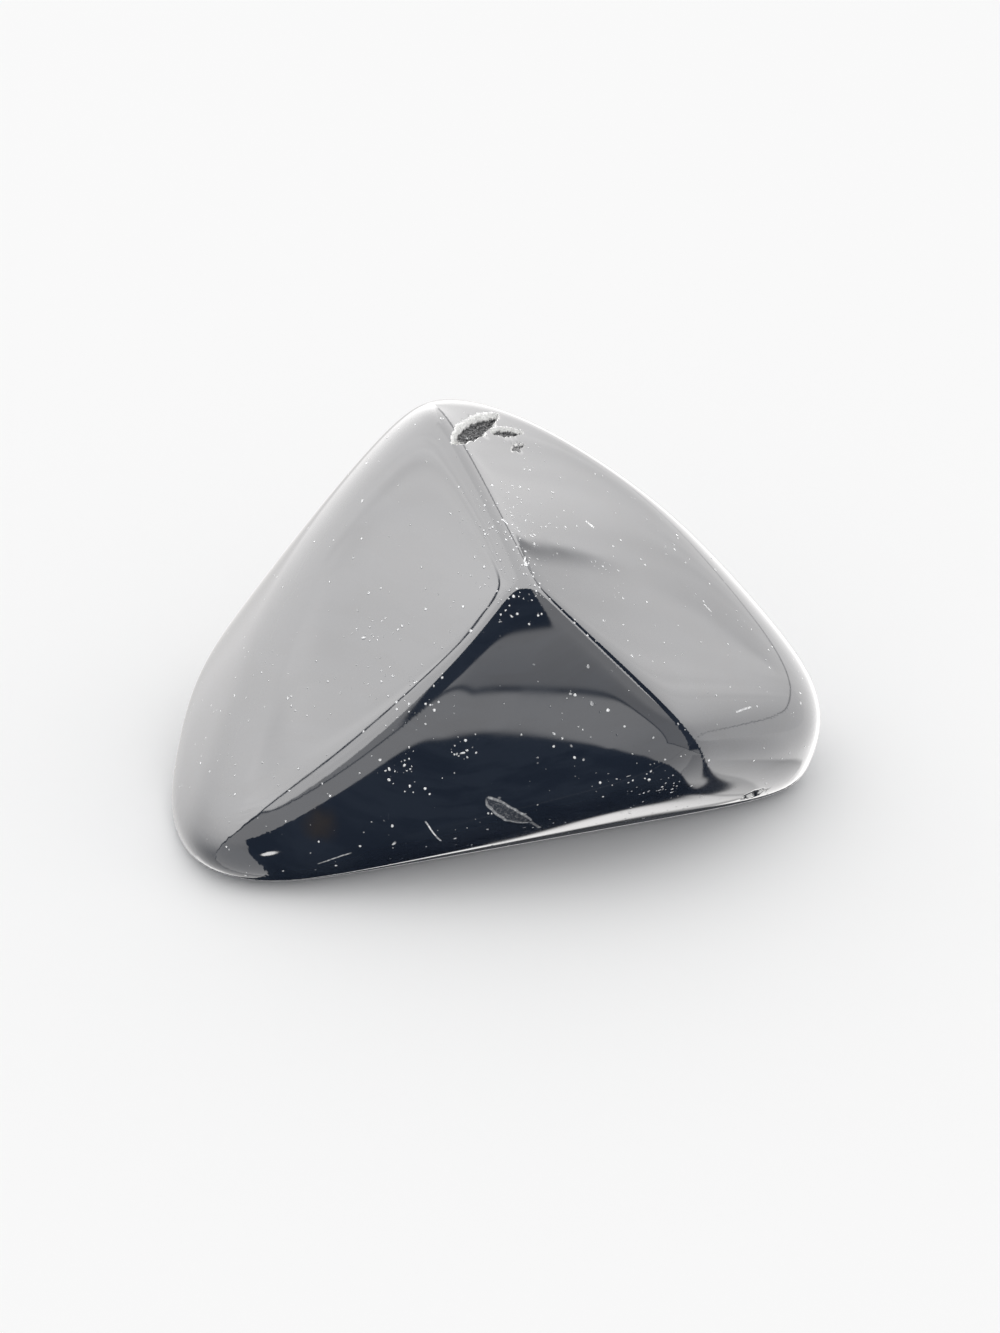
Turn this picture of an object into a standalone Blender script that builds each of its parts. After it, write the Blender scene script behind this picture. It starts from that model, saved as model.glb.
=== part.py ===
"""Obsidian chunk: one tumbled and polished lump of black volcanic glass.

The stone is a single solid. Three large polished faces meet at a blunt corner
that points forward and up, smaller faces close the sides, the back and the
underside, and every edge between them is worn round. A flat on the underside
is what the stone rests on. The origin lies on that flat, straight below the
stone's heart, with +X to the right along the longest side, +Y to the back and
+Z up. Lengths are in millimetres until they reach the mesh.
"""

import math

import bmesh
import bpy
from mathutils import Matrix, Vector, noise

MM = 0.001
STONE_NAME = "obsidian_stone"
PART_COLLECTION = "obsidian_chunk"
CUTTER_COLLECTION = "chip_cutters"

# The heart is the point inside the stone from which its faces are measured.
HEART = Vector((0.0, 0.0, 7.0))

# Each polished face: bearing of its outward normal (0 is +X, 90 is the back),
# rise of the normal above level, distance from the heart, and how domed the
# face is (0 is flat, 2 is part of a ball round the heart).
CORNER_FACES = {
    "front": (271, 25, 10.0, 0.25),
    "left": (240, 41, 9.65, 0.0),
    "right": (337, 51, 9.05, 0.15),
    "corner_facet": (276, 54.6, 10.7, 0.1),
}
OUTER_FACES = {
    "under_front": (288, -43, 10.1, 0.0),
    "right_toe": (313, -7, 13.55, 0.0),
    "back_left": (157, 36, 11.9, 0.1),
    "back_right": (43, 23, 11.8, 0.1),
    "back": (80, 15, 8.4, 0.15),
    "left_end": (189, 28, 12.35, 0.0),
    "right_end": (10, -17, 16.85, 0.1),
    "under_right": (317, -71, 16.25, 0.1),
    "under_left": (234, -41, 17.2, 0.1),
    "under_back": (103, -59, 8.55, 0.2),
    "crown": (87, 58, 13.0, 0.1),
    "underside": (0, -90, 7.3, 0.0),
}

# How crisply faces meet: a higher number gives a sharper edge. The corner
# faces meet sharply at the corner and more softly along their edges.
CORNER_CRISPNESS = 105.0
RIDGE_CRISPNESS = 44.0
OUTER_CRISPNESS = 16.0
CORNER_BEARING = 272.0
CORNER_RISE = 49.0
CORNER_SPREAD = 29.0

# Mesh density: an even ball of triangles, then finer ones along the edges.
BALL_SUBDIVISIONS = 5
EDGE_BEND = math.radians(10.0)
EDGE_REFINEMENTS = 2
EVENING_ROUNDS = 3
EVENING_STRENGTH = 0.5

# Fresh chips in the polish: bearing and rise of the chip's middle as seen from
# the heart, heading of its long side across the stone, length, width, depth.
CHIPS = {
    "long_chip": (133, 82.5, 58, 4.9, 1.12, 0.45),
    "side_chip": (80, 80, 32, 2.6, 0.7, 0.32),
    "low_chip": (56, 82, 50, 1.3, 0.4, 0.18),
    "edge_nick": (341, -22, 25, 1.6, 0.45, 0.2),
}
CHIP_SUBDIVISIONS = 3
CHIP_ROUGHNESS = 0.22

# Polished black glass.
GLASS_COLOUR = (0.008, 0.011, 0.016, 1.0)
GLASS_ROUGHNESS = 0.08
GLASS_METALLIC = 0.0


def direction(bearing, rise):
    """Unit vector for a bearing and a rise in degrees."""
    turn = math.radians(bearing)
    lift = math.radians(rise)
    level = math.cos(lift)
    return Vector((level * math.cos(turn), level * math.sin(turn), math.sin(lift)))


CORNER = direction(CORNER_BEARING, CORNER_RISE)


def face_reach(ray, face):
    """One over the distance at which a ray from the heart meets a domed face."""
    bearing, rise, distance, dome = face
    facing = ray.dot(direction(bearing, rise))
    return (facing + math.sqrt(facing ** 2 + dome * (1.0 - facing ** 2))) / (2.0 * distance)


def blend(reaches, crispness):
    """The nearest face wins, and close rivals round the edge between them."""
    nearest = max(reaches)
    return nearest * sum((reach / nearest) ** crispness for reach in reaches) ** (1.0 / crispness)


def surface_point(ray):
    """The point of the stone's surface in a direction from the heart."""
    off_corner = (1.0 - ray.dot(CORNER)) / (1.0 - math.cos(math.radians(CORNER_SPREAD)))
    crispness = RIDGE_CRISPNESS + (CORNER_CRISPNESS - RIDGE_CRISPNESS) * math.exp(-off_corner)
    corner = blend([face_reach(ray, face) for face in CORNER_FACES.values()], crispness)
    outer = [face_reach(ray, face) for face in OUTER_FACES.values()]
    return HEART + ray / blend([corner] + outer, OUTER_CRISPNESS)


def surface_normal(ray):
    """The surface's outward normal in a direction from the heart."""
    side = ray.orthogonal().normalized()
    other = ray.cross(side)
    step = 0.01
    along_side = surface_point((ray + side * step).normalized()) - surface_point(ray)
    along_other = surface_point((ray + other * step).normalized()) - surface_point(ray)
    return along_side.cross(along_other).normalized()


def settle_on_surface(bm):
    """Move every vertex straight out or in to the stone's surface."""
    for vert in bm.verts:
        vert.co = surface_point((vert.co - HEART).normalized())


def refine_edges(bm):
    """Split the mesh edges that cross a worn edge of the stone, then even the mesh out."""
    bent = [edge for edge in bm.edges if edge.calc_face_angle(0.0) > EDGE_BEND]
    bmesh.ops.subdivide_edges(bm, edges=bent, cuts=1)
    bmesh.ops.triangulate(bm, faces=bm.faces[:])
    settle_on_surface(bm)
    for _ in range(EVENING_ROUNDS):
        bmesh.ops.smooth_vert(
            bm,
            verts=bm.verts[:],
            factor=EVENING_STRENGTH,
            use_axis_x=True,
            use_axis_y=True,
            use_axis_z=True,
        )
        settle_on_surface(bm)


def cut_resting_flat(bm):
    """Slice the underside off level at zero height and close the cut."""
    everything = bm.verts[:] + bm.edges[:] + bm.faces[:]
    cut = bmesh.ops.bisect_plane(
        bm, geom=everything, plane_co=(0.0, 0.0, 0.0), plane_no=(0.0, 0.0, -1.0), clear_outer=True
    )
    rim = [item for item in cut["geom_cut"] if isinstance(item, bmesh.types.BMEdge)]
    bmesh.ops.holes_fill(bm, edges=rim, sides=len(rim))


def build_stone(collection):
    """The stone as one closed mesh, in metres."""
    bm = bmesh.new()
    bmesh.ops.create_icosphere(bm, subdivisions=BALL_SUBDIVISIONS, radius=1.0)
    bmesh.ops.translate(bm, verts=bm.verts, vec=HEART)
    settle_on_surface(bm)
    for _ in range(EDGE_REFINEMENTS):
        refine_edges(bm)
    cut_resting_flat(bm)
    bmesh.ops.recalc_face_normals(bm, faces=bm.faces[:])
    bmesh.ops.scale(bm, verts=bm.verts, vec=(MM, MM, MM))
    mesh = bpy.data.meshes.new(STONE_NAME)
    bm.to_mesh(mesh)
    bm.free()
    mesh.shade_smooth()
    stone = bpy.data.objects.new(STONE_NAME, mesh)
    collection.objects.link(stone)
    return stone


def build_chip_cutter(name, chip, collection):
    """A rough, pointed lens that stands on the surface and scoops out a chip."""
    bearing, rise, heading, length, width, depth = chip
    ray = direction(bearing, rise)
    normal = surface_normal(ray)
    level = direction(heading, 0.0)
    along = (level - normal * level.dot(normal)).normalized()
    across = normal.cross(along)
    pose = Matrix((along, across, normal)).transposed().to_4x4()
    pose.translation = surface_point(ray)
    bm = bmesh.new()
    bmesh.ops.create_icosphere(bm, subdivisions=CHIP_SUBDIVISIONS, radius=1.0)
    for vert in bm.verts:
        pinch = 1.0 - 0.5 * vert.co.x ** 2
        rough = 1.0 + CHIP_ROUGHNESS * noise.noise(vert.co * 2.5 + surface_point(ray))
        vert.co = Vector((vert.co.x, vert.co.y * pinch, vert.co.z)) * rough
    bmesh.ops.scale(bm, verts=bm.verts, vec=(length / 2.0, width / 2.0, depth))
    bmesh.ops.transform(bm, verts=bm.verts, matrix=pose)
    bmesh.ops.scale(bm, verts=bm.verts, vec=(MM, MM, MM))
    mesh = bpy.data.meshes.new(name)
    bm.to_mesh(mesh)
    bm.free()
    cutter = bpy.data.objects.new(name, mesh)
    cutter.hide_render = True
    cutter.display_type = "WIRE"
    collection.objects.link(cutter)
    return cutter


def chip_stone(stone, cutter):
    """Cut one chip out of the stone."""
    cut = stone.modifiers.new(cutter.name, "BOOLEAN")
    cut.operation = "DIFFERENCE"
    cut.solver = "EXACT"
    cut.object = cutter


def black_glass():
    """Polished black obsidian."""
    material = bpy.data.materials.new("black_obsidian")
    material.use_nodes = True
    shader = material.node_tree.nodes["Principled BSDF"]
    shader.inputs["Base Color"].default_value = GLASS_COLOUR
    shader.inputs["Roughness"].default_value = GLASS_ROUGHNESS
    shader.inputs["Metallic"].default_value = GLASS_METALLIC
    material.diffuse_color = GLASS_COLOUR
    return material


def clear_scene():
    """Remove every object that is already in the scene."""
    for item in list(bpy.data.objects):
        bpy.data.objects.remove(item, do_unlink=True)


def new_collection(name):
    """A collection linked into the scene."""
    collection = bpy.data.collections.new(name)
    bpy.context.scene.collection.children.link(collection)
    return collection


def main():
    """Build the stone, chip it and give it its material."""
    clear_scene()
    parts = new_collection(PART_COLLECTION)
    cutters = new_collection(CUTTER_COLLECTION)
    stone = build_stone(parts)
    for name, chip in CHIPS.items():
        chip_stone(stone, build_chip_cutter(name, chip, cutters))
    stone.data.materials.append(black_glass())


main()
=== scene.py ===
"""Looks for the obsidian chunk: one tumbled, polished lump of black volcanic glass.

The stone is modelled finely from the same face sizes as its solid, and gets
its fresh chips, its clear polish, dust, pits and fine scratches. A pale floor,
a soft light tent and a camera complete the studio. Lengths are millimetres
and angles degrees until they reach a mesh or an object.
"""

import logging
import math
from dataclasses import dataclass
from enum import Enum
from typing import Any, List, Mapping, Optional, Sequence, Tuple, Union

import bmesh
import bpy
import numpy as np
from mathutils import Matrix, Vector, noise


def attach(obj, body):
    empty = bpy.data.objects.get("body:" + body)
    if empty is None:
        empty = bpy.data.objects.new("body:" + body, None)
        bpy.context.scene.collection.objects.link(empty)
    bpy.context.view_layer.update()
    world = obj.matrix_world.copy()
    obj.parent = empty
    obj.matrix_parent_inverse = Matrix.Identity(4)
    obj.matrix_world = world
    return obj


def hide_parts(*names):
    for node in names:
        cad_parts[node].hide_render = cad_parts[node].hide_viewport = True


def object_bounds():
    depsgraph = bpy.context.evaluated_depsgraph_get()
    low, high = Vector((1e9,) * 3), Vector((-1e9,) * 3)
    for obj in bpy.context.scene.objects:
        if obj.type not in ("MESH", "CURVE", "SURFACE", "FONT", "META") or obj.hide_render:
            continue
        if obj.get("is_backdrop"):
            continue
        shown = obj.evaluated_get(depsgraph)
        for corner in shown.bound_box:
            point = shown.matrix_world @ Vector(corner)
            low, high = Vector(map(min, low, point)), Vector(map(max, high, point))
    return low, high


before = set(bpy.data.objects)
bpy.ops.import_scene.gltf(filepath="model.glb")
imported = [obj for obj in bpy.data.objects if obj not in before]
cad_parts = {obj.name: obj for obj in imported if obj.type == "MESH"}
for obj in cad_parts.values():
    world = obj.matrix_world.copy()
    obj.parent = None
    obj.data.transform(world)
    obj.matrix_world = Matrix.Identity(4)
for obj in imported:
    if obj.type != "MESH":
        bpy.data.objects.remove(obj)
CAD_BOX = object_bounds()

logging.basicConfig(level=logging.INFO, format="%(message)s")
log = logging.getLogger("obsidian_chunk")

MM = 0.001
STONE_BODY = "root"
STONE_NODE = "obsidian_stone"
OFF_THE_CHIP = 9.0
UPWARDS = (0.0, 0.0, 1.0)

Pair = Tuple[float, float]
Triple = Tuple[float, float, float]
Colour = Tuple[float, float, float, float]


class Layer(Enum):
    """What the mesh tells the finish, vertex by vertex."""

    CHIP = "chip"
    FROST = "frost"
    DUST = "dust"


def direction(bearing: float, rise: float) -> np.ndarray:
    """Unit vector for a bearing and a rise.

    Args:
        bearing: Turn about the upright, 0 for +X and 90 for the back.
        rise: Angle above level.

    Returns:
        The unit vector.
    """
    turn, lift = math.radians(bearing), math.radians(rise)
    return np.array([math.cos(lift) * math.cos(turn), math.cos(lift) * math.sin(turn), math.sin(lift)])


def unit(vectors: np.ndarray) -> np.ndarray:
    """The vectors, each scaled to length one."""
    return vectors / np.linalg.norm(vectors, axis=-1, keepdims=True)


# ---------------------------------------------------------------- shader maths


class Signal:
    """A node's output that can be used in Python expressions, which add Math nodes."""

    def __init__(self, bench: "NodeBench", socket: bpy.types.NodeSocket) -> None:
        """Keep the socket and the bench that its nodes stand on."""
        self.bench = bench
        self.socket = socket

    def maths(self, operation: str, *others: "Operand", clamp: bool = False) -> "Signal":
        """Feed this signal and others through one Math node.

        Args:
            operation: The Math node's operation.
            others: The other inputs, signals or numbers.
            clamp: Whether the result is kept from 0 to 1.

        Returns:
            The result.
        """
        return self.bench.maths(operation, self, *others, clamp=clamp)

    def __add__(self, other: "Operand") -> "Signal":
        """self + other."""
        return self.maths("ADD", other)

    __radd__ = __add__

    def __sub__(self, other: "Operand") -> "Signal":
        """self - other."""
        return self.maths("SUBTRACT", other)

    def __rsub__(self, other: "Operand") -> "Signal":
        """other - self."""
        return self.bench.maths("SUBTRACT", other, self)

    def __mul__(self, other: "Operand") -> "Signal":
        """self * other."""
        return self.maths("MULTIPLY", other)

    __rmul__ = __mul__

    def __truediv__(self, other: "Operand") -> "Signal":
        """self / other."""
        return self.maths("DIVIDE", other)

    def __rtruediv__(self, other: "Operand") -> "Signal":
        """other / self."""
        return self.bench.maths("DIVIDE", other, self)

    def __pow__(self, other: "Operand") -> "Signal":
        """self ** other."""
        return self.maths("POWER", other)

    def clamped(self) -> "Signal":
        """The signal kept from 0 to 1."""
        return self.maths("ADD", 0.0, clamp=True)

    def ramp(self, low: float, high: float) -> "Signal":
        """Soft rise from 0 at low to 1 at high; a fall where high is below low.

        Args:
            low: The value that gives 0.
            high: The value that gives 1.

        Returns:
            The rise.
        """
        if low > high:
            return 1.0 - self.ramp(high, low)
        node = self.bench.node(
            "ShaderNodeMapRange",
            {"interpolation_type": "SMOOTHSTEP"},
            {"Value": self, "From Min": low, "From Max": high},
        )
        return Signal(self.bench, node.outputs["Result"])


Operand = Union[Signal, float]
Input = Union[Signal, float, Sequence[float]]


class NodeBench:
    """Adds nodes to one node tree."""

    def __init__(self, tree: bpy.types.NodeTree) -> None:
        """Clear the tree and keep it."""
        self.tree = tree
        tree.nodes.clear()

    def node(
        self,
        kind: str,
        settings: Optional[Mapping[str, Any]] = None,
        inputs: Optional[Mapping[Union[str, int], Input]] = None,
    ) -> bpy.types.Node:
        """Add a node, set it up and feed it.

        Args:
            kind: The node's type name.
            settings: Its own settings, which are set first.
            inputs: Values or signals for its sockets, by name or number.

        Returns:
            The node.
        """
        made = self.tree.nodes.new(kind)
        for name, value in (settings or {}).items():
            setattr(made, name, value)
        for key, value in (inputs or {}).items():
            if isinstance(value, Signal):
                self.tree.links.new(value.socket, made.inputs[key])
            else:
                made.inputs[key].default_value = value
        return made

    def signal(
        self,
        output: Union[str, int],
        kind: str,
        settings: Optional[Mapping[str, Any]] = None,
        inputs: Optional[Mapping[Union[str, int], Input]] = None,
    ) -> Signal:
        """Add a node and give one of its outputs.

        Args:
            output: The output's name or number.
            kind: The node's type name.
            settings: Its own settings.
            inputs: Values or signals for its sockets.

        Returns:
            The output as a signal.
        """
        return Signal(self, self.node(kind, settings, inputs).outputs[output])

    def maths(self, operation: str, *values: Operand, clamp: bool = False) -> Signal:
        """Add one Math node.

        Args:
            operation: What it works out.
            values: Its inputs in order.
            clamp: Whether the result is kept from 0 to 1.

        Returns:
            The result.
        """
        settings = {"operation": operation, "use_clamp": clamp}
        return self.signal("Value", "ShaderNodeMath", settings, dict(enumerate(values)))

    def vector(self, operation: str, inputs: Mapping[Union[str, int], Input]) -> bpy.types.Node:
        """Add one Vector Math node.

        Args:
            operation: What it works out.
            inputs: Its inputs.

        Returns:
            The node.
        """
        return self.node("ShaderNodeVectorMath", {"operation": operation}, inputs)

    def dot(self, vectors: Signal, along: Sequence[float]) -> Signal:
        """How far the vectors reach along a fixed one."""
        return Signal(self, self.vector("DOT_PRODUCT", {0: vectors, 1: tuple(along)}).outputs["Value"])

    def shift(self, vectors: Signal, by: Sequence[float]) -> Signal:
        """The vectors moved by a fixed one."""
        return Signal(self, self.vector("ADD", {0: vectors, 1: tuple(by)}).outputs["Vector"])

    def scale(self, vectors: Input, factor: Operand) -> Signal:
        """The vectors times a number."""
        return Signal(self, self.vector("SCALE", {0: vectors, "Scale": factor}).outputs["Vector"])

    def stretch(self, vectors: Signal, factors: Sequence[float]) -> Signal:
        """The vectors times a fixed number on each axis."""
        return Signal(self, self.vector("MULTIPLY", {0: vectors, 1: tuple(factors)}).outputs["Vector"])

    def length(self, vectors: Signal) -> Signal:
        """The length of the vectors."""
        return Signal(self, self.vector("LENGTH", {0: vectors}).outputs["Value"])

    def sum(self, one: Signal, other: Signal) -> Signal:
        """Two vector signals added."""
        return Signal(self, self.vector("ADD", {0: one, 1: other}).outputs["Vector"])

    def noise(self, where: Signal, per_unit: float, detail: float = 2.0, rough: float = 0.5) -> Signal:
        """Soft noise around 0.5.

        Args:
            where: The place it is read at.
            per_unit: Its scale.
            detail: How many finer layers it has.
            rough: How strong those are.

        Returns:
            The noise.
        """
        inputs = {"Vector": where, "Scale": per_unit, "Detail": detail, "Roughness": rough}
        return self.signal("Fac", "ShaderNodeTexNoise", None, inputs)

    def wander(self, where: Signal, per_unit: float, amount: float) -> Signal:
        """The places pushed about by soft noise.

        Args:
            where: The places.
            per_unit: The noise's scale.
            amount: How far they are pushed.

        Returns:
            The new places.
        """
        inputs = {"Vector": where, "Scale": per_unit, "Detail": 1.0}
        push = self.signal("Color", "ShaderNodeTexNoise", None, inputs)
        return self.sum(where, self.scale(self.shift(push, (-0.5, -0.5, -0.5)), amount))

    def mix(self, factor: Operand, start: Input, end: Input) -> Signal:
        """One colour passing into another.

        Args:
            factor: 0 for the start and 1 for the end.
            start: The first colour.
            end: The second colour.

        Returns:
            The mixed colour.
        """
        sockets = {0: factor, 6: start, 7: end}
        return self.signal(2, "ShaderNodeMix", {"data_type": "RGBA"}, sockets)


# ------------------------------------------------------------------- the shape


@dataclass(frozen=True)
class DomedFace:
    """One polished face: its outward normal, its distance from the heart and its dome."""

    bearing: float
    rise: float
    distance: float
    dome: float

    def reach(self, rays: np.ndarray) -> np.ndarray:
        """One over the distance at which rays from the heart meet the face.

        Args:
            rays: Unit vectors, one a row.

        Returns:
            One number a ray.
        """
        facing = rays @ direction(self.bearing, self.rise)
        domed = np.sqrt(facing ** 2 + self.dome * (1.0 - facing ** 2))
        return (facing + domed) / (2.0 * self.distance)


def blend(reaches: Sequence[np.ndarray], crispness: Union[float, np.ndarray]) -> np.ndarray:
    """The nearest face wins, and close rivals round the edge between them.

    Args:
        reaches: What each face gives.
        crispness: How sharp the edges are.

    Returns:
        One over the surface's distance, for each ray.
    """
    stack = np.stack(reaches)
    nearest = stack.max(axis=0)
    rivals = ((np.maximum(stack, 0.0) / nearest) ** crispness).sum(axis=0)
    return nearest * rivals ** (1.0 / crispness)


@dataclass(frozen=True)
class StoneForm:
    """The smooth outer shape of the stone, the same as its solid's.

    The sizes of the faces and of their blending were fitted by a separate
    program and rounded, but for the corner facet and the underside, which were
    set by hand.
    """

    heart: Triple = (0.0, 0.0, 7.0)
    front: DomedFace = DomedFace(271, 25, 10.0, 0.25)
    left: DomedFace = DomedFace(240, 41, 9.65, 0.0)
    right: DomedFace = DomedFace(337, 51, 9.05, 0.15)
    corner_facet: DomedFace = DomedFace(276, 54.6, 10.7, 0.1)
    under_front: DomedFace = DomedFace(288, -43, 10.1, 0.0)
    right_toe: DomedFace = DomedFace(313, -7, 13.55, 0.0)
    back_left: DomedFace = DomedFace(157, 36, 11.9, 0.1)
    back_right: DomedFace = DomedFace(43, 23, 11.8, 0.1)
    back: DomedFace = DomedFace(80, 15, 8.4, 0.15)
    left_end: DomedFace = DomedFace(189, 28, 12.35, 0.0)
    right_end: DomedFace = DomedFace(10, -17, 16.85, 0.1)
    under_right: DomedFace = DomedFace(317, -71, 16.25, 0.1)
    under_left: DomedFace = DomedFace(234, -41, 17.2, 0.1)
    under_back: DomedFace = DomedFace(103, -59, 8.55, 0.2)
    crown: DomedFace = DomedFace(87, 58, 13.0, 0.1)
    underside: DomedFace = DomedFace(0, -90, 7.3, 0.0)
    corner_crispness: float = 105.0
    ridge_crispness: float = 44.0
    outer_crispness: float = 16.0
    corner_bearing: float = 272.0
    corner_rise: float = 49.0
    corner_spread: float = 29.0
    probe: float = 0.004

    def closeness(self, points: np.ndarray) -> np.ndarray:
        """How far out points are: 1 on the surface, less inside and more outside.

        Args:
            points: Places, one a row.

        Returns:
            One number a place.
        """
        offsets = points - np.array(self.heart)
        distance = np.linalg.norm(offsets, axis=1)
        rays = offsets / distance[:, None]
        corner = direction(self.corner_bearing, self.corner_rise)
        off_corner = (1.0 - rays @ corner) / (1.0 - math.cos(math.radians(self.corner_spread)))
        extra = (self.corner_crispness - self.ridge_crispness) * np.exp(-off_corner)
        inner = (self.front, self.left, self.right, self.corner_facet)
        middle = blend([face.reach(rays) for face in inner], self.ridge_crispness + extra)
        outer = (
            self.under_front, self.right_toe, self.back_left, self.back_right, self.back,
            self.left_end, self.right_end, self.under_right, self.under_left,
            self.under_back, self.crown, self.underside,
        )
        return distance * blend([middle] + [face.reach(rays) for face in outer], self.outer_crispness)

    def settle(self, points: np.ndarray) -> np.ndarray:
        """Points moved straight out or in to the surface."""
        heart = np.array(self.heart)
        return heart + (points - heart) / self.closeness(points)[:, None]

    def normals(self, points: np.ndarray) -> np.ndarray:
        """Outward unit normals of the surface.

        Args:
            points: Places on the surface, one a row.

        Returns:
            One normal a place.
        """
        steps = np.eye(3) * self.probe
        slopes = [self.closeness(points + step) - self.closeness(points - step) for step in steps]
        return unit(np.stack(slopes, axis=1))

    def spot(self, bearing: float, rise: float) -> np.ndarray:
        """The surface point in a direction from the heart."""
        return self.settle((np.array(self.heart) + direction(bearing, rise))[None])[0]


@dataclass(frozen=True)
class Breakage:
    """How glass breaks at a chip: widths are in half widths of the chip, grain in cells a millimetre."""

    reach_along: float = 1.3
    reach_across: float = 1.9
    notches: float = 2.6
    small_notches: float = 6.5
    small_notch_share: float = 0.5
    raggedness: float = 0.22
    closing_from: float = 0.85
    closing: float = 3.0
    outermost: float = -0.3
    steep_fall: float = 0.16
    gentle_fall: float = 0.62
    grains: float = 9.0
    small_grains: float = 19.0
    small_grain_share: float = 0.6
    lip: float = 0.12
    steep_rim: float = 0.13
    gentle_rim: float = 0.45
    rim_middle: float = 0.3
    crushed_from: float = 0.4
    crushing: float = 2.0


@dataclass(frozen=True)
class Chip:
    """A fresh chip: where it is, its heading across the stone and its size."""

    name: str
    bearing: float
    rise: float
    heading: float
    length: float
    width: float
    depth: float
    steep_side: float
    roughness: float = 0.35
    fullness: float = 0.7
    taper: float = 0.25
    breakage: Breakage = Breakage()

    def local(self, form: StoneForm, points: np.ndarray) -> Tuple[np.ndarray, np.ndarray]:
        """Where points are on the chip, along it and across it.

        Args:
            form: The stone's shape.
            points: Places, one a row.

        Returns:
            Along and across, each from -1 to 1 over the chip.
        """
        middle = form.spot(self.bearing, self.rise)
        normal = form.normals(middle[None])[0]
        level = direction(self.heading, 0.0)
        along = unit(level - normal * (level @ normal))
        across = np.cross(normal, along)
        offsets = points - middle
        far = np.abs(offsets @ normal) > self.length
        first = (offsets @ along) / (self.length / 2.0)
        second = (offsets @ across) / (self.width / 2.0)
        first[far] = OFF_THE_CHIP
        return first, second * self.steep_side

    def outline(self, along: np.ndarray) -> np.ndarray:
        """Half the chip's width at places along it: blunt at one end and pointed at the other."""
        inside = np.clip(1.0 - along ** 2, 0.0, 1.0)
        return inside ** self.fullness * (1.0 - self.taper * along)

    def scoop(self, form: StoneForm, points: np.ndarray) -> Tuple[np.ndarray, np.ndarray, np.ndarray]:
        """What the chip takes away.

        Args:
            form: The stone's shape.
            points: Places on the smooth surface, one a row.

        Returns:
            The depth at each place, how far inside the chip it is, and how frosty it is.
        """
        glass = self.breakage
        along, across = self.local(form, points)
        near = (np.abs(along) < glass.reach_along) & (np.abs(across) < glass.reach_across)
        depth, inside, frost = (np.zeros(len(points)) for _ in range(3))
        for index in np.flatnonzero(near):
            place = Vector(points[index])
            small = glass.small_notch_share * noise.noise(place * glass.small_notches)
            ragged = noise.noise(place * glass.notches) + small
            width = float(self.outline(along[index:index + 1])[0])
            past = max(0.0, abs(along[index]) - glass.closing_from)
            margin = width - abs(across[index]) + glass.raggedness * ragged - glass.closing * past
            if margin <= glass.outermost:
                continue
            steep = across[index] > 0.0
            fall = glass.steep_fall if steep else glass.gentle_fall
            floor = min(max(margin / fall, 0.0), 1.0)
            small = glass.small_grain_share * noise.noise(place * glass.small_grains)
            grain = 1.0 + self.roughness * (noise.noise(place * glass.grains) + small)
            depth[index] = self.depth * floor * grain
            inside[index] = min(max(margin / glass.lip, 0.0), 1.0)
            rim = glass.steep_rim if steep else glass.gentle_rim
            end = max(0.0, -along[index] - glass.crushed_from) * glass.crushing
            white = max(0.0, 1.0 - abs(margin - rim * glass.rim_middle) / rim)
            frost[index] = min(1.0, white + end * inside[index])
        return depth, inside, frost


@dataclass(frozen=True)
class DustPatch:
    """A place where dust specks and pits gather, seen from the heart."""

    bearing: float
    rise: float
    reach: float
    amount: float


@dataclass(frozen=True)
class Scratch:
    """A fine straight scratch between two places, each a bearing and a rise from the heart."""

    start: Pair
    end: Pair
    width: float
    strength: float


@dataclass(frozen=True)
class LeafMark:
    """A thin leaf-shaped bruise: a pale outline with a faint speckled inside."""

    stalk: Pair
    tip: Pair
    width: float = 0.75
    rim: float = 0.10
    rim_core: float = 0.25
    bluntness: float = 0.55
    rim_paleness: float = 0.22
    rim_grain: float = 0.30
    inner_paleness: float = 0.03
    inner_grain: float = 0.11


@dataclass(frozen=True)
class SpeckKind:
    """One kind of speck: cells a millimetre, largest radius in cells, share of cells at full dust."""

    per_mm: float
    size: float
    share: float
    least: float = 0.35


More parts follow.
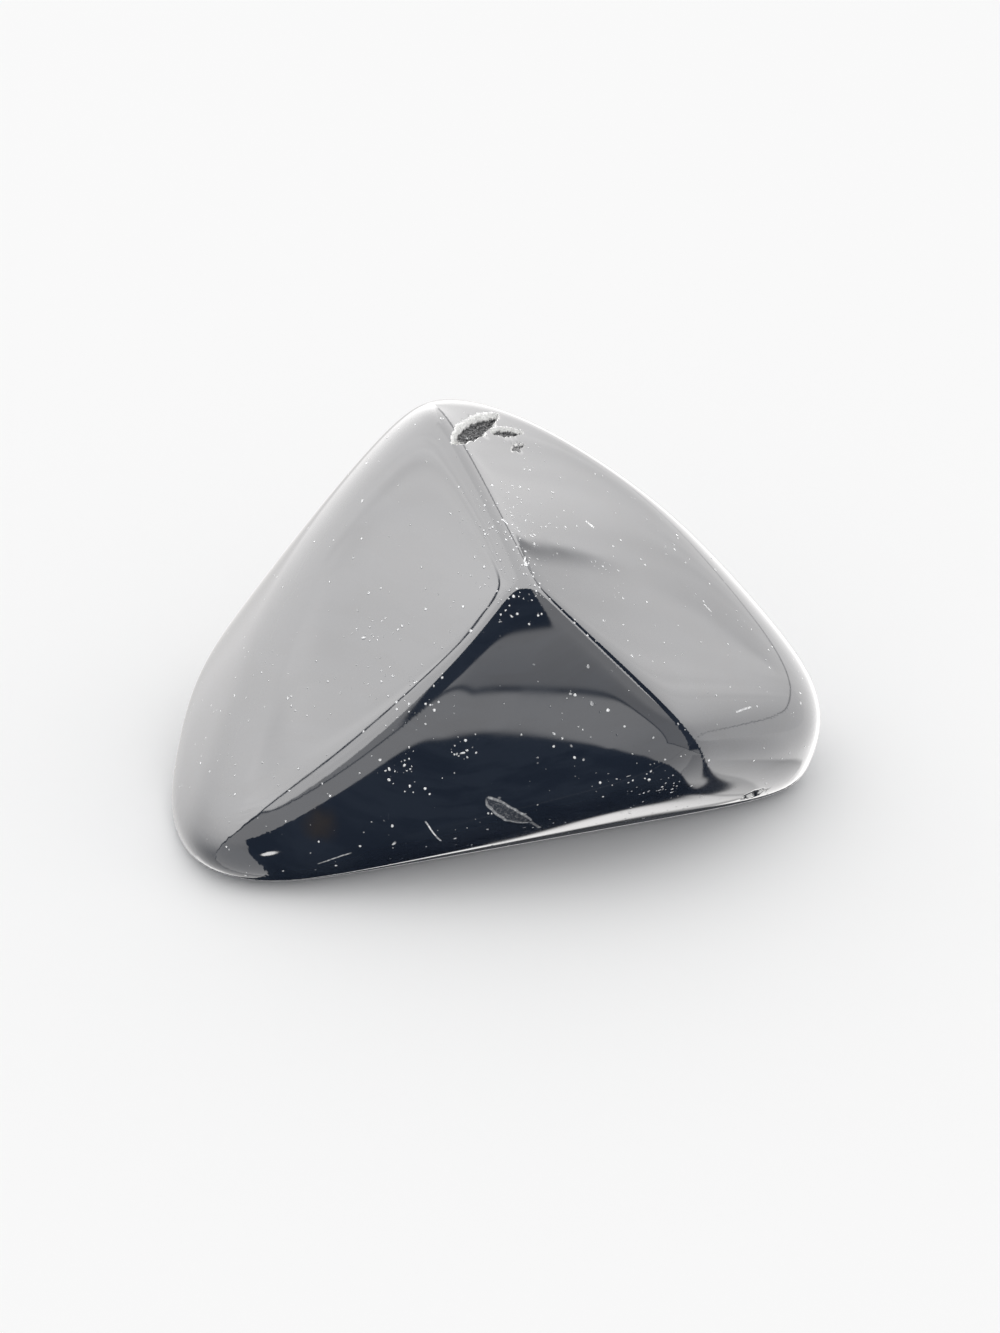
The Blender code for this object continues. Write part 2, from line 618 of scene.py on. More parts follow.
@dataclass(frozen=True)
class ObsidianFinish:
    """Polished black obsidian with dust, pits, scratches and frosty chips."""

    name: str = "polished_black_obsidian"
    glass: Colour = (0.0165, 0.0222, 0.0336, 1.0)
    deep_band: Colour = (0.0115, 0.0162, 0.0262, 1.0)
    warm_band: Colour = (0.0420, 0.0300, 0.0180, 1.0)
    warm_spot: Pair = (233.0, -11.0)
    warm_reach: Pair = (1.2, 0.1)
    warm_strength: float = 0.45
    dust: Colour = (0.90, 0.91, 0.92, 1.0)
    frost: Colour = (0.86, 0.86, 0.85, 1.0)
    fracture: Colour = (0.040, 0.042, 0.046, 1.0)
    polish: float = 0.035
    smudge: float = 0.030
    glass_ior: float = 1.5
    waviness: float = 0.005
    broken_relief: float = 0.16
    dust_relief: float = 0.03
    speck_dullness: float = 0.6
    mark_dullness: float = 0.5
    chip_dullness: float = 0.22
    frost_dullness: float = 0.5
    frost_from_rim: float = 1.35
    frost_from_grain: float = 1.3
    frost_edge: float = 0.55
    fine: SpeckKind = SpeckKind(5.0, 0.44, 1.3)
    coarse: SpeckKind = SpeckKind(1.8, 0.26, 0.40)
    fibre: SpeckKind = SpeckKind(2.3, 0.22, 0.50)
    thin_speck: float = 0.9
    strip_height: Pair = (1.4, 0.9)
    strip_start: Pair = (-0.02, 0.06)
    strip_end: Pair = (1.02, 0.94)
    scratch_core: float = 0.3
    scratch_faintest: float = 0.45

    def material(
        self, form: StoneForm, scratches: Sequence[Scratch], leaf: LeafMark
    ) -> bpy.types.Material:
        """Make the material.

        Args:
            form: The stone's shape, on which the marks lie.
            scratches: The scratches that it shows.
            leaf: The leaf-shaped bruise.

        Returns:
            The material.
        """
        made = bpy.data.materials.new(self.name)
        made.use_nodes = True
        made.diffuse_color = self.glass
        bench = NodeBench(made.node_tree)
        place = bench.scale(bench.signal("Object", "ShaderNodeTexCoord"), 1.0 / MM)
        inside = self.layer(bench, Layer.CHIP)
        frosty = self.frosting(bench, place, self.layer(bench, Layer.FROST))
        specks = self.specks(bench, place, self.layer(bench, Layer.DUST))
        scratched = self.scratch_marks(bench, place, form, scratches)
        marks = scratched.maths("MAXIMUM", self.leaf_mark(bench, place, form, leaf))
        colour = self.body_colour(bench, place, form)
        colour = bench.mix(inside, colour, self.fracture)
        colour = bench.mix((specks + marks).clamped(), colour, self.dust)
        colour = bench.mix(frosty, colour, self.frost)
        dull = (
            specks * self.speck_dullness + marks * self.mark_dullness
            + inside * self.chip_dullness + frosty * self.frost_dullness
        )
        smudge = bench.noise(bench.wander(place, 0.3, 3.0), 0.35, 3.0).ramp(0.45, 0.8)
        shader = bench.node(
            "ShaderNodeBsdfPrincipled",
            None,
            {
                "Base Color": colour,
                "Roughness": (dull + smudge * self.smudge + self.polish).clamped(),
                "Metallic": 0.0,
                "IOR": self.glass_ior,
                "Normal": self.relief(bench, place, inside, specks),
            },
        )
        bench.node("ShaderNodeOutputMaterial", None, {"Surface": Signal(bench, shader.outputs["BSDF"])})
        return made

    def layer(self, bench: NodeBench, layer: Layer) -> Signal:
        """What the mesh says about one of its layers."""
        return bench.signal("Fac", "ShaderNodeAttribute", {"attribute_name": layer.value})

    def body_colour(self, bench: NodeBench, place: Signal, form: StoneForm) -> Signal:
        """Near-black glass with faint flow bands and one faint brown streak.

        Args:
            bench: Where the nodes go.
            place: Object coordinates in millimetres.
            form: The stone's shape.

        Returns:
            The colour.
        """
        folded = bench.stretch(bench.wander(place, 0.12, 5.0), (0.25, 0.5, 1.0))
        bands = bench.noise(folded, 0.9, 3.0).ramp(0.42, 0.62)
        colour = bench.mix(bands, self.glass, self.deep_band)
        warm = bench.wander(bench.shift(place, -form.spot(*self.warm_spot)), 1.2, 0.8)
        streak = bench.length(warm).ramp(*self.warm_reach)
        return bench.mix(streak * self.warm_strength, colour, self.warm_band)

    def frosting(self, bench: NodeBench, place: Signal, rim: Signal) -> Signal:
        """Crushed white glass along the rims of the chips.

        Args:
            bench: Where the nodes go.
            place: Object coordinates in millimetres.
            rim: How frosty the surface is, from the mesh.

        Returns:
            How white it is.
        """
        grain = bench.noise(place, 5.5, 3.0, 0.65)
        return (rim * self.frost_from_rim + grain * self.frost_from_grain - 1.0).ramp(0.0, self.frost_edge)

    def specks(self, bench: NodeBench, place: Signal, gather: Signal) -> Signal:
        """Dust specks, short fibres and tiny pits, denser where they gather.

        Args:
            bench: Where the nodes go.
            place: Object coordinates in millimetres.
            gather: How dense they are, from the mesh.

        Returns:
            How much speck there is.
        """
        clumps = gather * (0.35 + 1.3 * bench.noise(place, 0.8, 2.0).ramp(0.35, 0.7))
        fine = self.speck_layer(bench, bench.wander(place, 3.0, 0.15), self.fine, clumps)
        coarse = self.speck_layer(bench, bench.wander(place, 4.0, 0.34), self.coarse, clumps)
        curled = bench.stretch(bench.wander(place, 0.9, 1.6), (0.42, 1.0, 0.75))
        fibres = self.speck_layer(bench, curled, self.fibre, clumps)
        return (fine * self.thin_speck + coarse + fibres * self.thin_speck).clamped()

    def speck_layer(self, bench: NodeBench, place: Signal, kind: SpeckKind, gather: Signal) -> Signal:
        """One kind of speck.

        Args:
            bench: Where the nodes go.
            place: Places in millimetres.
            kind: The kind of speck.
            gather: How dense they are.

        Returns:
            The layer.
        """
        cell = bench.node("ShaderNodeTexVoronoi", {"feature": "F1"}, {"Vector": place, "Scale": kind.per_mm})
        split = bench.node("ShaderNodeSeparateColor", None, {0: Signal(bench, cell.outputs["Color"])})
        pick = Signal(bench, split.outputs[0])
        vary = Signal(bench, split.outputs[1])
        there = (gather * kind.share - pick).ramp(0.0, 0.04)
        radius = kind.size * (kind.least + (1.0 - kind.least) * vary * vary)
        spot = (radius - Signal(bench, cell.outputs["Distance"])) / (kind.size * kind.least)
        return there * spot.clamped() * (kind.least + (1.0 - kind.least) * vary)

    def strip(
        self, bench: NodeBench, place: Signal, form: StoneForm, start: Pair, end: Pair
    ) -> Tuple[Signal, Signal, Signal]:
        """Where places lie on a straight strip of the surface.

        Args:
            bench: Where the nodes go.
            place: Places in millimetres.
            form: The stone's shape.
            start: Bearing and rise of the strip's start.
            end: Bearing and rise of its end.

        Returns:
            How far along it from 0 to 1, how far across it in millimetres, and 1 on its length.
        """
        first, last = form.spot(*start), form.spot(*end)
        span = last - first
        middle = form.settle(((first + last) / 2.0)[None])[0]
        normal = form.normals(middle[None])[0]
        from_start = bench.shift(place, -first)
        along = bench.dot(from_start, span / float(span @ span))
        across = bench.dot(from_start, unit(np.cross(normal, span)))
        height = bench.dot(bench.shift(place, -middle), normal).maths("ABSOLUTE")
        on_length = height.ramp(*self.strip_height) * along.ramp(*self.strip_start)
        return along, across, on_length * along.ramp(*self.strip_end)

    def scratch_marks(
        self, bench: NodeBench, place: Signal, form: StoneForm, scratches: Sequence[Scratch]
    ) -> Signal:
        """Fine scratches.

        Args:
            bench: Where the nodes go.
            place: Object coordinates in millimetres.
            form: The stone's shape.
            scratches: The scratches.

        Returns:
            How much scratch there is.
        """
        waver = bench.wander(place, 1.6, 0.10)
        broken = bench.noise(place, 5.0, 2.0).ramp(0.35, 0.55)
        total: Operand = 0.0
        for scratch in scratches:
            _, across, there = self.strip(bench, waver, form, scratch.start, scratch.end)
            line = across.maths("ABSOLUTE").ramp(scratch.width, scratch.width * self.scratch_core)
            total = (line * there * scratch.strength).maths("MAXIMUM", total)
        return total * (self.scratch_faintest + (1.0 - self.scratch_faintest) * broken)

    def leaf_mark(self, bench: NodeBench, place: Signal, form: StoneForm, leaf: LeafMark) -> Signal:
        """A thin bruise with a pale outline and a faint speckled inside.

        Args:
            bench: Where the nodes go.
            place: Object coordinates in millimetres.
            form: The stone's shape.
            leaf: The bruise.

        Returns:
            How pale it is.
        """
        waver = bench.wander(place, 1.5, 0.25)
        along, across, there = self.strip(bench, waver, form, leaf.stalk, leaf.tip)
        half = (along * (1.0 - along) * 4.0).clamped() ** leaf.bluntness * (leaf.width / 2.0)
        beyond = across.maths("ABSOLUTE") - half
        outline = beyond.maths("ABSOLUTE").ramp(leaf.rim, leaf.rim * leaf.rim_core)
        grain = bench.noise(place, 7.0, 3.0, 0.7).ramp(0.45, 0.7)
        inside = beyond.ramp(0.0, -leaf.rim)
        pale_rim = outline * (leaf.rim_paleness + leaf.rim_grain * grain)
        return there * (pale_rim + inside * (leaf.inner_paleness + leaf.inner_grain * grain))

    def relief(self, bench: NodeBench, place: Signal, inside: Signal, specks: Signal) -> Signal:
        """Fine relief: a barely uneven polish, broken glass in the chips, raised dust.

        Args:
            bench: Where the nodes go.
            place: Object coordinates in millimetres.
            inside: Where the chips are.
            specks: Where the dust is.

        Returns:
            The bent normals.
        """
        uneven = bench.noise(bench.wander(place, 0.1, 4.0), 0.22, 1.0)
        broken = bench.noise(bench.stretch(place, (1.0, 1.4, 1.4)), 3.2, 4.0, 0.7)
        height = uneven * self.waviness + inside * broken * self.broken_relief + specks * self.dust_relief
        inputs = {"Height": height, "Strength": 1.0, "Distance": MM}
        return bench.signal("Normal", "ShaderNodeBump", None, inputs)


@dataclass
class PolishedStone:
    """The stone: a fine mesh over its solid, chipped near the top.

    The places of its chips, scratches and leaf mark, and of most dust patches,
    were turned into bearings and rises by a separate program.
    """

    form: StoneForm = StoneForm()
    finish: ObsidianFinish = ObsidianFinish()
    name: str = "polished_obsidian_chunk"
    ball_subdivisions: int = 7
    edge_bends: Tuple[float, ...] = (3.5, 2.8, 3.0)
    evening_rounds: int = 2
    evening_strength: float = 0.5
    chip_refinements: int = 3
    fine_along: float = 1.1
    fine_across: float = 1.35
    chips: Tuple[Chip, ...] = (
        Chip("long_chip", 133, 82.5, 58, 4.9, 1.12, 0.45, -1.0),
        Chip("side_chip", 80, 80, 32, 2.5, 0.62, 0.30, -1.0),
        Chip("low_chip", 56, 82, 50, 1.3, 0.34, 0.12, -1.0),
        Chip("edge_nick", 341, -22, 25, 1.6, 0.45, 0.20, 1.0),
    )
    dust_patches: Tuple[DustPatch, ...] = (
        DustPatch(275, 68, 1.9, 0.85),
        DustPatch(277, 65, 0.9, 1.4),
        DustPatch(277, 48, 1.4, 1.4),
        DustPatch(6, 85, 0.7, 0.8),
        DustPatch(333, 47, 1.3, 0.5),
        DustPatch(260, 5, 0.5, 3.0),
        DustPatch(274, 60, 1.0, 0.9),
        DustPatch(248, -1, 1.1, 0.65),
        DustPatch(294, -3, 0.7, 0.9),
        DustPatch(304, -5, 0.9, 0.9),
        DustPatch(312, -10, 0.7, 0.8),
        DustPatch(228, 31, 1.3, 0.45),
        DustPatch(245, 15, 2.0, 0.35),
    )
    scratches: Tuple[Scratch, ...] = (
        Scratch((252.8, -11.8), (255.8, -18.6), 0.055, 0.85),
        Scratch((233.0, -18.6), (238.7, -17.2), 0.050, 0.55),
        Scratch((278.0, -16.6), (281.5, -23.0), 0.130, 0.22),
        Scratch((347.7, 62.0), (347.9, 58.6), 0.085, 1.0),
        Scratch((354.5, 18.8), (353.9, 16.4), 0.060, 0.6),
        Scratch((332.0, 1.2), (337.7, -0.2), 0.070, 0.6),
        Scratch((272.4, 66.9), (274.6, 66.0), 0.065, 0.9),
        Scratch((280.8, 54.4), (282.2, 56.2), 0.060, 0.9),
    )
    leaf: LeafMark = LeafMark((266.6, -7.2), (278.0, -16.6))
    base_dust: float = 0.055

    def build(self) -> bpy.types.Object:
        """Model the stone.

        Returns:
            Its object, in metres.
        """
        bm = bmesh.new()
        bmesh.ops.create_icosphere(bm, subdivisions=self.ball_subdivisions, radius=1.0)
        bmesh.ops.translate(bm, verts=bm.verts, vec=self.form.heart)
        self.settle(bm)
        for bend in self.edge_bends:
            self.refine_ridges(bm, math.radians(bend))
        for _ in range(self.chip_refinements):
            self.refine_chips(bm)
        self.cut_resting_flat(bm)
        self.carve(bm)
        bmesh.ops.recalc_face_normals(bm, faces=bm.faces[:])
        bmesh.ops.scale(bm, verts=bm.verts, vec=(MM, MM, MM))
        mesh = bpy.data.meshes.new(self.name)
        bm.to_mesh(mesh)
        bm.free()
        mesh.shade_smooth()
        stone = bpy.data.objects.new(self.name, mesh)
        bpy.context.scene.collection.objects.link(stone)
        return stone

    def dress(self, stone: bpy.types.Object) -> None:
        """Give the stone its finish and its place on the solid.

        Args:
            stone: The stone's object.
        """
        stone.data.materials.append(self.finish.material(self.form, self.scratches, self.leaf))
        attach(stone, STONE_BODY)
        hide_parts(STONE_NODE)

    def places(self, verts: Sequence[bmesh.types.BMVert]) -> np.ndarray:
        """The vertices' places, one a row."""
        return np.array([vert.co[:] for vert in verts])

    def move(self, verts: Sequence[bmesh.types.BMVert], places: np.ndarray) -> None:
        """Put the vertices at new places."""
        for vert, place in zip(verts, places):
            vert.co = place

    def settle(self, bm: bmesh.types.BMesh) -> None:
        """Move every vertex straight out or in to the stone's surface."""
        self.move(bm.verts, self.form.settle(self.places(bm.verts)))

    def split(self, bm: bmesh.types.BMesh, edges: List[bmesh.types.BMEdge]) -> None:
        """Halve edges and settle the new vertices.

        Args:
            bm: The mesh.
            edges: The edges to halve.
        """
        bmesh.ops.subdivide_edges(bm, edges=edges, cuts=1)
        bmesh.ops.triangulate(bm, faces=[face for face in bm.faces if len(face.verts) > 3])
        self.settle(bm)

    def refine_ridges(self, bm: bmesh.types.BMesh, bend: float) -> None:
        """Split the edges that bend across a worn ridge, then even the mesh out there.

        Args:
            bm: The mesh.
            bend: The bend from which an edge is split, in radians.
        """
        self.split(bm, [edge for edge in bm.edges if edge.calc_face_angle(0.0) > bend])
        for _ in range(self.evening_rounds):
            bmesh.ops.smooth_vert(
                bm, verts=bm.verts[:], factor=self.evening_strength,
                use_axis_x=True, use_axis_y=True, use_axis_z=True,
            )
            self.settle(bm)

    def refine_chips(self, bm: bmesh.types.BMesh) -> None:
        """Split the edges where the chips are."""
        bm.verts.ensure_lookup_table()
        places = self.places(bm.verts)
        near = np.zeros(len(places), bool)
        for chip in self.chips:
            along, across = chip.local(self.form, places)
            near |= (np.abs(along) < self.fine_along) & (np.abs(across) < self.fine_across)
        chosen = [edge for edge in bm.edges if near[edge.verts[0].index] and near[edge.verts[1].index]]
        self.split(bm, chosen)

    def cut_resting_flat(self, bm: bmesh.types.BMesh) -> None:
        """Slice the underside off level at zero height and close the cut."""
        everything = bm.verts[:] + bm.edges[:] + bm.faces[:]
        cut = bmesh.ops.bisect_plane(
            bm, geom=everything, plane_co=(0.0, 0.0, 0.0), plane_no=(0.0, 0.0, -1.0), clear_outer=True
        )
        rim = [item for item in cut["geom_cut"] if isinstance(item, bmesh.types.BMEdge)]
        bmesh.ops.holes_fill(bm, edges=rim, sides=len(rim))

    def carve(self, bm: bmesh.types.BMesh) -> None:
        """Sink the chips into the surface and mark chips, frost and dust on the mesh."""
        places = self.places(bm.verts)
        normals = self.form.normals(places)
        depth, inside, frost = (np.zeros(len(places)) for _ in range(3))
        for chip in self.chips:
            taken, within, white = chip.scoop(self.form, places)
            depth = np.maximum(depth, taken)
            inside = np.maximum(inside, within)
            frost = np.maximum(frost, white)
        dust = np.full(len(places), self.base_dust)
        for patch in self.dust_patches:
            middle = self.form.spot(patch.bearing, patch.rise)
            away = np.linalg.norm(places - middle, axis=1) / patch.reach
            dust = np.maximum(dust, patch.amount * np.exp(-away ** 2))
        self.move(bm.verts, places - normals * depth[:, None])
        for kind, values in ((Layer.CHIP, inside), (Layer.FROST, frost), (Layer.DUST, dust)):
            layer = bm.verts.layers.float.new(kind.value)
            for vert, value in zip(bm.verts, values):
                vert[layer] = float(value)


# ------------------------------------------------------------------ the studio


@dataclass(frozen=True)
class Seam:
    """A round seam of the tent: everything within an angle of one direction."""

    bearing: float
    rise: float
    spread: float
    softness: float = 0.6

    def cover(self, bench: NodeBench, rays: Signal) -> Signal:
        """How far inside the seam directions are.

        Args:
            bench: Where the nodes go.
            rays: The directions.

        Returns:
            1 inside and 0 outside.
        """
        facing = bench.dot(rays, direction(self.bearing, self.rise))
        within = math.radians(max(self.spread - self.softness, 0.0))
        return facing.ramp(math.cos(math.radians(self.spread)), math.cos(within))


@dataclass(frozen=True)
class TentSheet:
    """One sheet of the light tent, inside all of its seams, brighter towards the top."""

    name: str
    seams: Tuple[Seam, ...]
    low: float
    high: float = 0.0
    low_at: float = 0.0
    high_at: float = 0.0

    def glow(self, height: Signal) -> Operand:
        """How bright the sheet is.

        Args:
            height: How far up the direction points, from -1 to 1.

        Returns:
            Its brightness.
        """
        if self.low_at == self.high_at:
            return self.low
        return self.low + height.ramp(self.low_at, self.high_at) * (self.high - self.low)


@dataclass(frozen=True)
class Folds:
    """Soft hanging folds in part of the cloth."""

    area: Seam
    across: Triple
    per_unit: float
    depth: float
    drawn_out: float = 0.12

    def shade(self, bench: NodeBench, rays: Signal) -> Signal:
        """What the cloth's brightness is multiplied by.

        Args:
            bench: Where the nodes go.
            rays: The directions.

        Returns:
            A factor around 1.
        """
        along = bench.scale(rays, self.per_unit * self.drawn_out)
        where = bench.sum(along, bench.scale(self.across, bench.dot(rays, self.across) * self.per_unit))
        wave = bench.noise(where, 1.0, 1.5) - 0.5
        return 1.0 + wave * self.area.cover(bench, rays) * (2.0 * self.depth)


@dataclass
class LightTent:
    """White cloth round the stone, open and dark towards the camera.

    The seams that show as lines on the polished faces were fitted by separate programs, and some were then
    moved a little. Those that only limit a sheet were set one by one.
    """

    world_name: str = "light_tent"
    backdrop: Colour = (0.947, 0.947, 0.947, 1.0)
    room_light: Colour = (1.0, 1.0, 1.0, 1.0)
    dark: Colour = (0.045, 0.058, 0.090, 1.0)
    cloth: Colour = (1.0, 0.985, 0.975, 1.0)
    gloom_heights: Pair = (-0.35, -0.9)
    gloom_depth: float = 0.75
    above_left_front: Seam = Seam(94.3, 11, 103.2)
    left_top: Seam = Seam(91.2, -63.8, 139.9)
    front_side: Seam = Seam(274.3, -11, 77.8, 0.7)
    right_cap: Seam = Seam(44, -7.3, 52.5)
    door_left: Seam = Seam(213.8, -37.1, 80.3, 0.8)
    door_right: Seam = Seam(358.5, 24.7, 123.9, 1.5)
    sliver_edge: Seam = Seam(342.9, -76.5, 130.5, 0.7)

    def sheets(self) -> Tuple[TentSheet, ...]:
        """The tent's sheets; a later one hangs in front of the earlier ones."""
        above_front = Seam(270, -28, 90, 0.8)
        inner_left = Seam(94.3, 11, 102.2)
        inner_front = Seam(274.3, -11, 76.8, 0.7)
        to_the_right = Seam(0, 0, 88, 4)
        off_the_back = Seam(270, 0, 107, 5)
        past_the_right = Seam(0, 0, 85, 5)
        door_sides = (self.door_right, self.door_left)
        low_behind = (Seam(270, 0, 116, 3), Seam(0, -90, 50, 5))
        return (
            TentSheet("table", (), 1.0, 3.2, -0.95, -0.3),
            TentSheet("back_cloth", (Seam(90, 0, 93, 6), Seam(0, 90, 125, 10)), 2.6, 8.4, -0.2, 0.9),
            TentSheet("ceiling", (Seam(0, 90, 87, 3),), 7.8, 9.9, 0.42, 0.85),
            TentSheet("left_ceiling", (Seam(205, 60, 25, 10),), 11.2),
            TentSheet(
                "front_ceiling", (self.sliver_edge, self.front_side, above_front),
                2.0, 3.0, 0.3, 0.45,
            ),
            TentSheet(
                "camera_hole",
                (Seam(268.6, 54.8, 32.1, 0.7), self.sliver_edge, Seam(180, 15.9, 90, 0.8), above_front),
                0.03,
            ),
            TentSheet(
                "left_gap", (Seam(91.2, -63.8, 141.0), self.above_left_front, Seam(270, 0, 74, 2)), 0.3
            ),
            TentSheet(
                "left_wall", (self.left_top, inner_left, Seam(180, 0, 92, 6)), 1.9, 11.2, -0.38, 0.70
            ),
            TentSheet("flap_gap_right", (Seam(272.4, -14.9, 33.9, 0.5), self.front_side), 0.6),
            TentSheet("flap_gap_left", (Seam(214.1, -54.4, 87.0, 0.5), self.front_side), 0.6),
            TentSheet("flap_right", (Seam(272.4, -14.9, 33.3, 0.5), inner_front), 2.8, 3.4, 0.0, 0.3),
            TentSheet("flap_left", (Seam(214.1, -54.4, 86.4, 0.5), inner_front), 2.8, 3.4, 0.0, 0.3),
            TentSheet("low_flap", (Seam(44, -7.3, 66, 2), Seam(0, -90, 60, 6), Seam(0, 0, 72, 6)), 2.0),
            TentSheet("doorway_left", (Seam(244.6, -53.2, 70.4, 0.8), *door_sides), 0.0),
            TentSheet("doorway_middle", (Seam(270.6, -1.7, 16.9, 0.8), *door_sides), 0.0),
            TentSheet("under_door", (Seam(0, -90, 90, 5), *door_sides), 0.0),
            TentSheet(
                "top_gap",
                (Seam(44, -7.3, 57.5, 1.2), Seam(90, 0, 75, 4), Seam(0, 90, 100, 6), to_the_right),
                4.6,
            ),
            TentSheet(
                "right_gap",
                (Seam(44, -7.3, 54.8, 0.8), Seam(0, 90, 152, 4), off_the_back, to_the_right),
                0.15,
            ),
            TentSheet(
                "ridge_gap",
                (
                    Seam(44, -7.3, 72, 2), Seam(0, 90, 117, 6), Seam(0, -90, 137.7, 3),
                    off_the_back, Seam(0, 0, 85, 4),
                ),
                0.1,
            ),
            TentSheet("right_wall", (self.right_cap,), 4.7, 10.0, 0.24, 0.66),
            TentSheet("backdrop", (Seam(90, -30, 34, 26),), 1.1),
            TentSheet("low_gap", (Seam(48, -6.5, 55.6, 0.3), *low_behind, to_the_right), 0.15),
            TentSheet("right_skirt", (Seam(48, -6.5, 54.8, 0.3), *low_behind), 2.3),
            TentSheet("right_foot", (self.right_cap, Seam(0, -90, 55, 20)), 3.2),
            TentSheet("right_fold", (self.right_cap, Seam(270, 0, 101, 9)), 3.6),
            TentSheet("floor_behind", (Seam(88, -42, 17, 3), Seam(0, -90, 53, 5)), 0.3),
            TentSheet("floor_line", (Seam(180, -76, 40.4, 0.8), Seam(90, 0, 66, 2)), 2.4),
            TentSheet("under_stone", (Seam(180, -76, 39.0, 0.7), *door_sides), 0.0),
            TentSheet(
                "post_edge", (Seam(10.2, 18.9, 29.3, 0.5), Seam(0, 90, 68, 6), Seam(90, 0, 80, 8)), 3.2
            ),
            TentSheet("post", (Seam(10.2, 18.9, 28.7, 1.2), self.right_cap), 4.4, 6.6, 0.10, 0.42),
            TentSheet(
                "table_edge",
                (Seam(47.9, -59.4, 69.6, 0.4), Seam(227.9, 59.4, 111.2, 0.4), past_the_right),
                1.5,
            ),
            TentSheet("lamp", (Seam(247.7, -15, 4.0, 2.0),), 16.0),
        )

    def folds(self) -> Tuple[Folds, ...]:
        """The folds in the side walls."""
        return (
            Folds(Seam(201, 41.5, 22, 14), (0.42, 0.59, 0.69), 30.0, 0.16),
            Folds(Seam(43, 22, 20, 12), (-0.66, 0.73, 0.18), 20.0, 0.15),
        )

    def build(self) -> None:
        """Set the world up."""
        world = bpy.data.worlds.new(self.world_name)
        bpy.context.scene.world = world
        world.use_nodes = True
        bench = NodeBench(world.node_tree)
        rays = bench.signal("Generated", "ShaderNodeTexCoord")
        bright = self.brightness(bench, rays)
        below = bench.dot(rays, UPWARDS).ramp(*self.gloom_heights)
        gloom = bench.scale(self.dark[:3], 1.0 - self.gloom_depth * below)
        seen = bench.mix(bright.clamped(), gloom, bench.scale(self.cloth[:3], bright))
        path = bench.node("ShaderNodeLightPath")
        plain = bench.mix(Signal(bench, path.outputs["Is Camera Ray"]), self.room_light, self.backdrop)
        room = bench.signal("Background", "ShaderNodeBackground", None, {"Color": plain, "Strength": 1.0})
        tent = bench.signal("Background", "ShaderNodeBackground", None, {"Color": seen, "Strength": 1.0})
        glossy = Signal(bench, path.outputs["Is Glossy Ray"])
        both = bench.signal("Shader", "ShaderNodeMixShader", None, {0: glossy, 1: room, 2: tent})
        bench.node("ShaderNodeOutputWorld", None, {"Surface": both})

    def brightness(self, bench: NodeBench, rays: Signal) -> Signal:
        """How bright the tent is in every direction.

        Args:
            bench: Where the nodes go.
            rays: The directions.

        Returns:
            The brightness.
        """
        height = bench.dot(rays, UPWARDS)
        total: Operand = 0.0
        for sheet in self.sheets():
            cover: Operand = 1.0
            for seam in sheet.seams:
                cover = seam.cover(bench, rays) * cover
            total = sheet.glow(height) * cover + (1.0 - cover) * total
        for fold in self.folds():
            total = total * fold.shade(bench, rays)
        return total


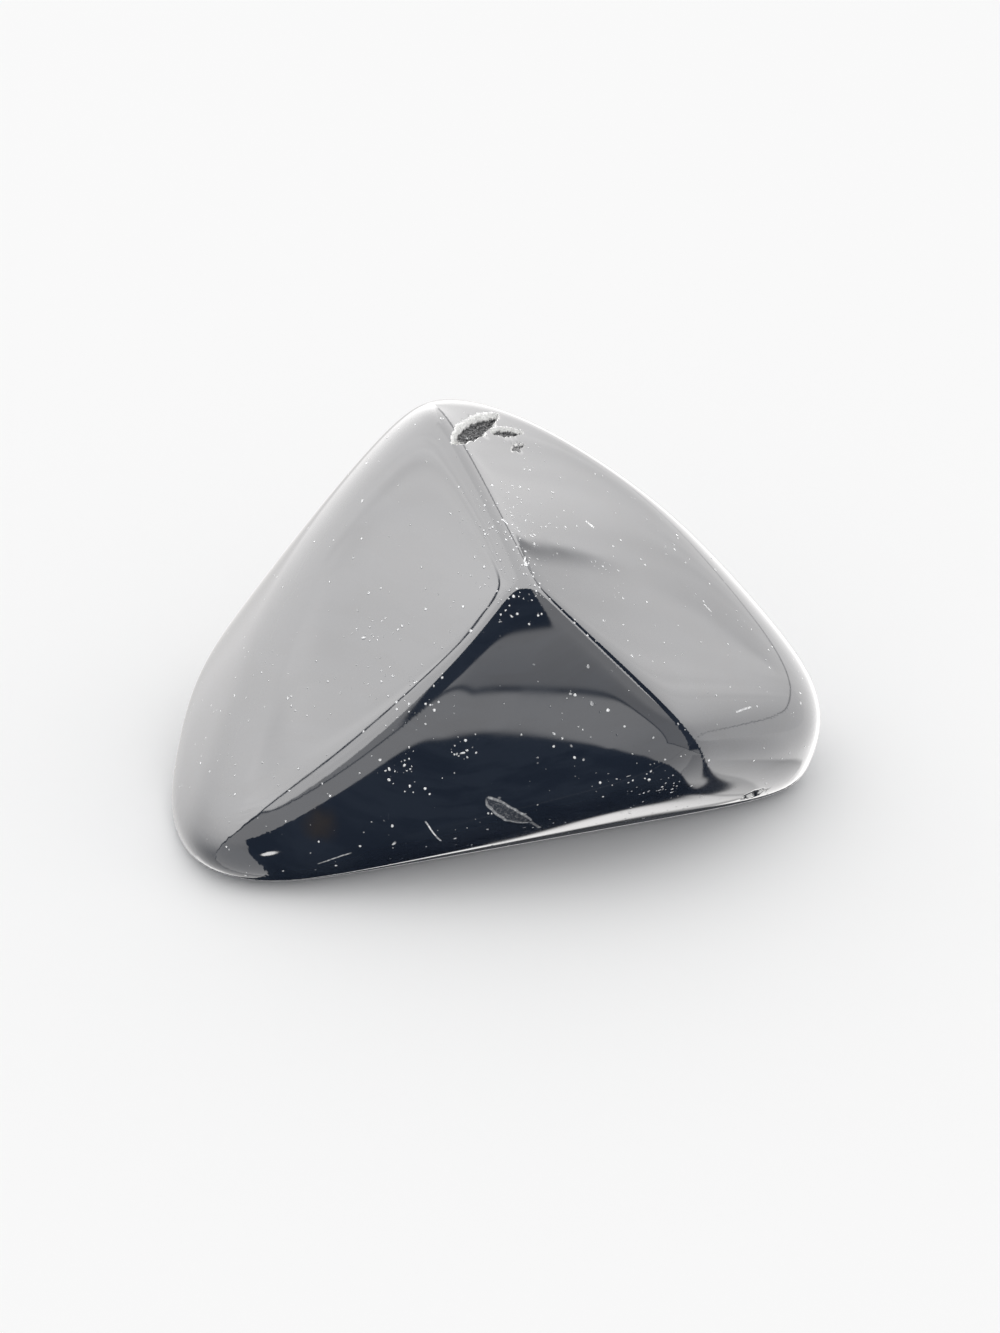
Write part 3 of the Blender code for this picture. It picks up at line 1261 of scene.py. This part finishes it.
@dataclass
class Floor:
    """A plain pale floor."""

    name: str = "pale_floor"
    size: float = 6000.0
    colour: Colour = (0.955, 0.955, 0.955, 1.0)
    roughness: float = 0.9
    unevenness: float = 0.01

    def build(self) -> bpy.types.Object:
        """Lay the floor.

        Returns:
            Its object.
        """
        bm = bmesh.new()
        bmesh.ops.create_grid(bm, x_segments=1, y_segments=1, size=self.size * MM / 2.0)
        mesh = bpy.data.meshes.new(self.name)
        bm.to_mesh(mesh)
        bm.free()
        floor = bpy.data.objects.new(self.name, mesh)
        bpy.context.scene.collection.objects.link(floor)
        mesh.materials.append(self.material())
        floor.visible_glossy = False
        floor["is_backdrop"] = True
        return floor

    def material(self) -> bpy.types.Material:
        """Matt pale paper, very slightly uneven.

        Returns:
            The material.
        """
        made = bpy.data.materials.new(self.name)
        made.use_nodes = True
        bench = NodeBench(made.node_tree)
        place = bench.signal("Object", "ShaderNodeTexCoord")
        uneven = bench.noise(place, 9.0, 2.0)
        darker = tuple(part * (1.0 - self.unevenness) for part in self.colour[:3]) + (1.0,)
        colour = bench.mix(uneven, self.colour, darker)
        shader = bench.node(
            "ShaderNodeBsdfPrincipled",
            None,
            {"Base Color": colour, "Roughness": self.roughness, "Specular IOR Level": 0.0},
        )
        bench.node("ShaderNodeOutputMaterial", None, {"Surface": Signal(bench, shader.outputs["BSDF"])})
        return made


@dataclass
class StudioCamera:
    """The camera, looking down at the stone."""

    name: str = "studio_camera"
    aim: Triple = (0.0, -3.0, 8.04)
    distance: float = 173.0
    elevation: float = 30.0
    lens: float = 93.4
    sensor: float = 36.0
    nearest: float = 10.0
    farthest: float = 20000.0

    def build(self) -> bpy.types.Object:
        """Put the camera up.

        Returns:
            Its object.
        """
        data = bpy.data.cameras.new(self.name)
        data.lens = self.lens
        data.sensor_width = self.sensor
        data.clip_start = self.nearest * MM
        data.clip_end = self.farthest * MM
        camera = bpy.data.objects.new(self.name, data)
        back = direction(270.0, self.elevation) * self.distance
        camera.location = Vector((np.array(self.aim) + back) * MM)
        camera.rotation_euler = (math.radians(90.0 - self.elevation), 0.0, 0.0)
        bpy.context.scene.collection.objects.link(camera)
        bpy.context.scene.camera = camera
        return camera


def write_sizes() -> None:
    """Put the solid's box and the dressed stone's box side by side in a dictionary, which is then dropped.
    """
    def plain(box: Sequence[Vector]) -> List[List[float]]:
        """The box's corners as lists of numbers."""
        return [[float(part) for part in corner] for corner in box]

    {"cad": plain(CAD_BOX), "visual": plain(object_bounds())}


def main() -> None:
    """Build the stone and its studio."""
    bpy.context.scene.view_settings.view_transform = "Standard"
    camera = StudioCamera().build()
    log.info("camera: %s at %s", camera.name, tuple(round(part, 4) for part in camera.location))
    maker = PolishedStone()
    stone = maker.build()
    maker.dress(stone)
    log.info("stone: %s, %d triangles", stone.name, len(stone.data.polygons))
    log.info("chips: %s", ", ".join(chip.name for chip in maker.chips))
    floor = Floor().build()
    log.info("floor: %s", floor.name)
    tent = LightTent()
    tent.build()
    log.info("light: tent of %s", ", ".join(sheet.name for sheet in tent.sheets()))
    write_sizes()


if __name__ == "__main__":
    main()
